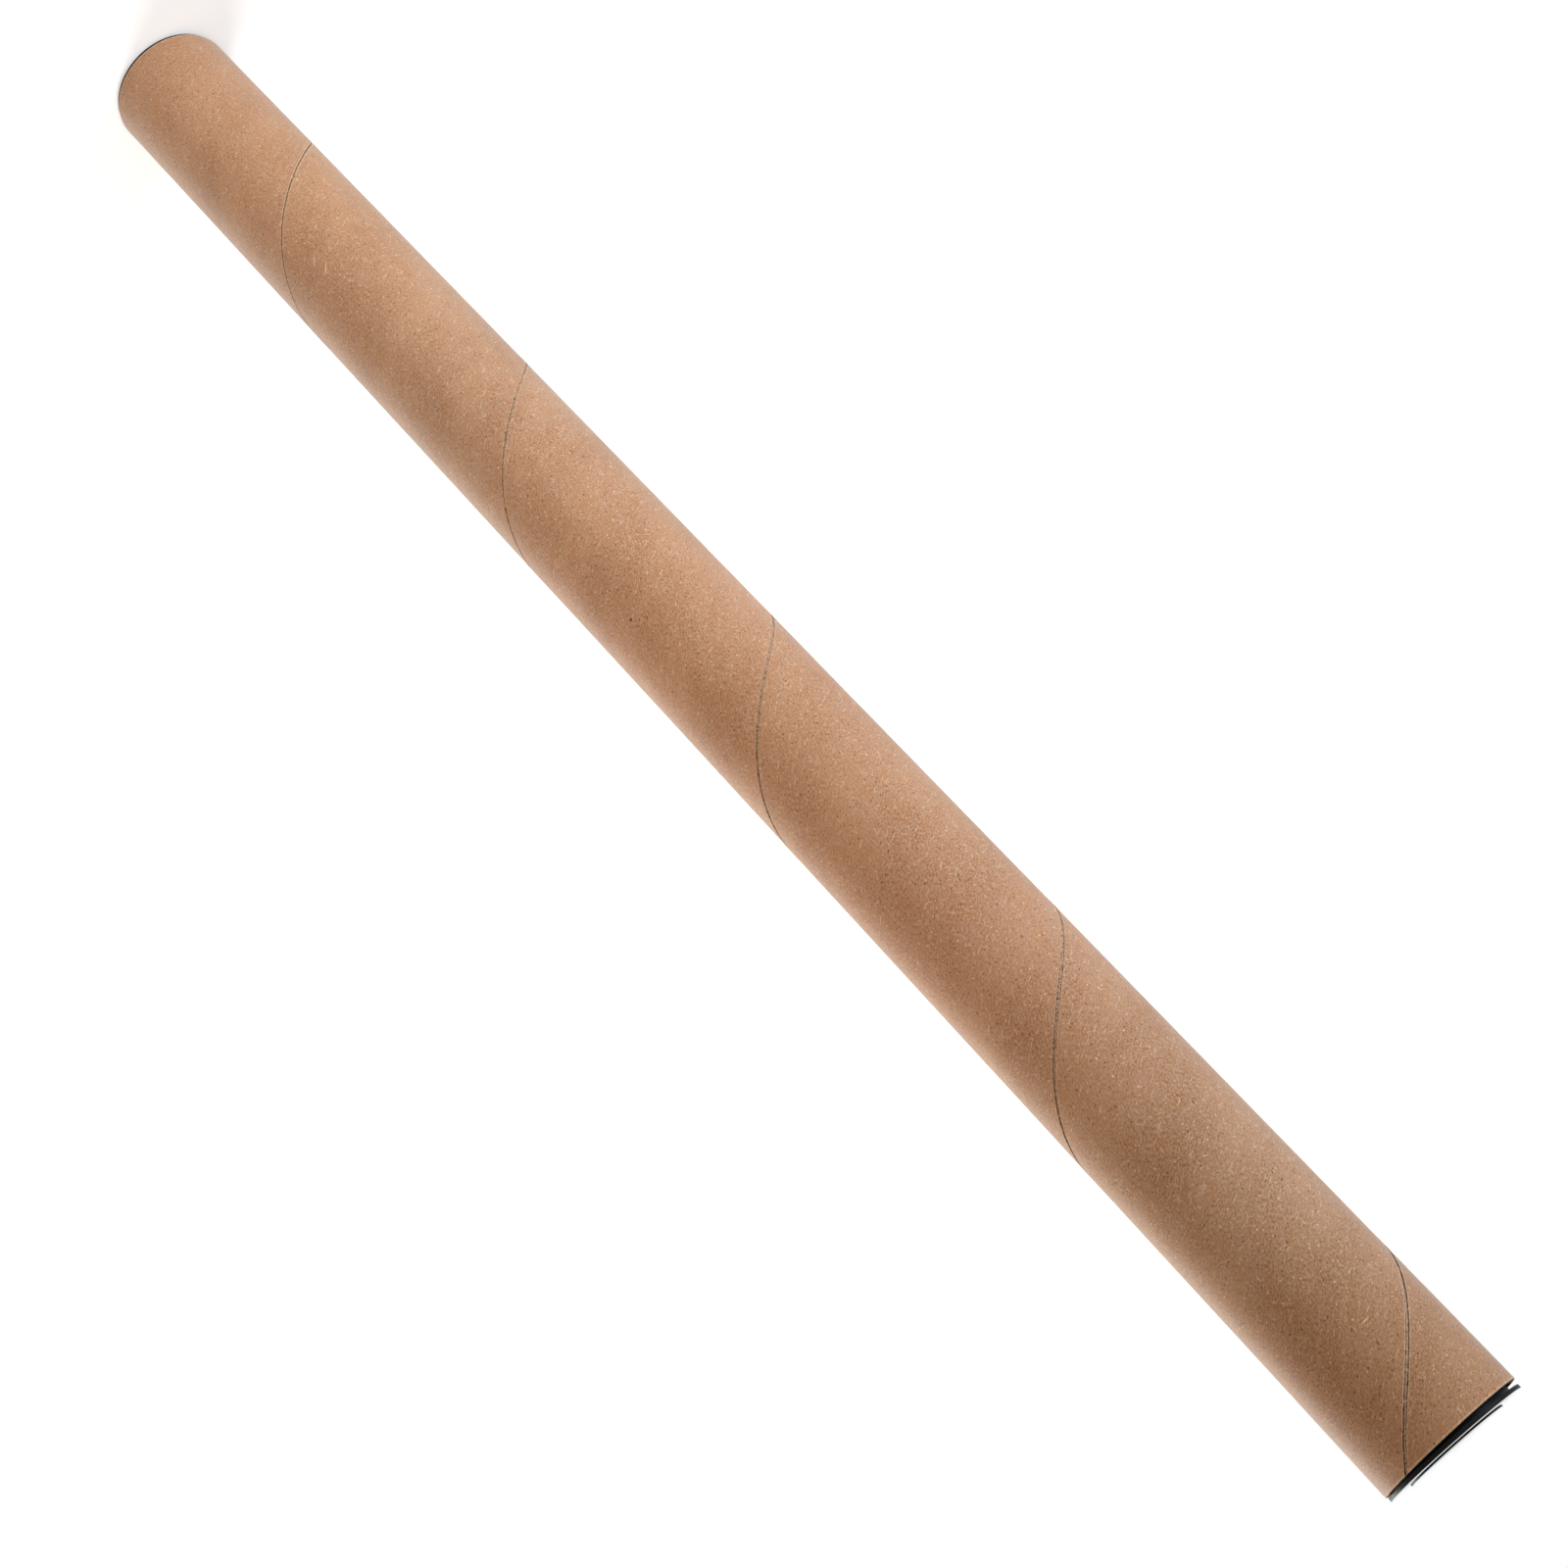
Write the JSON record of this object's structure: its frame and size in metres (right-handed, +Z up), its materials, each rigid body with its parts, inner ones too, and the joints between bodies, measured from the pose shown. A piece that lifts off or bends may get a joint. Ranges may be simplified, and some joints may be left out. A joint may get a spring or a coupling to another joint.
{
  "type": "cardboard mailing tube",
  "caption": "Spirally wound brown board mailing tube, closed at both ends by push-in black plastic plugs that pull off along its axis.",
  "frame": {"origin": "middle of the lower plug's resting face, on the tube's axis", "axes": "+Z up the tube's axis to the upper plug, the one that stands a little proud; -Y is the side that the picture shows"},
  "size_m": [0.043, 0.043, 0.6043],
  "materials": {
    "kraft_board": "matte",
    "black_plastic": "satin"
  },
  "bodies": {
    "tube": {"tube": "kraft_board"},
    "lower_plug": {"lower_plug": "black_plastic"},
    "upper_plug": {"upper_plug": "black_plastic"}
  },
  "joints": [
    {"name": "lower_plug_slide", "type": "slide", "parent": "tube", "child": "lower_plug", "axis": [0, 0, -1], "range_m": [0, 0.06]},
    {"name": "upper_plug_slide", "type": "slide", "parent": "tube", "child": "upper_plug", "axis": [0, 0, 1], "range_m": [-0.0003, 0.06]}
  ]
}
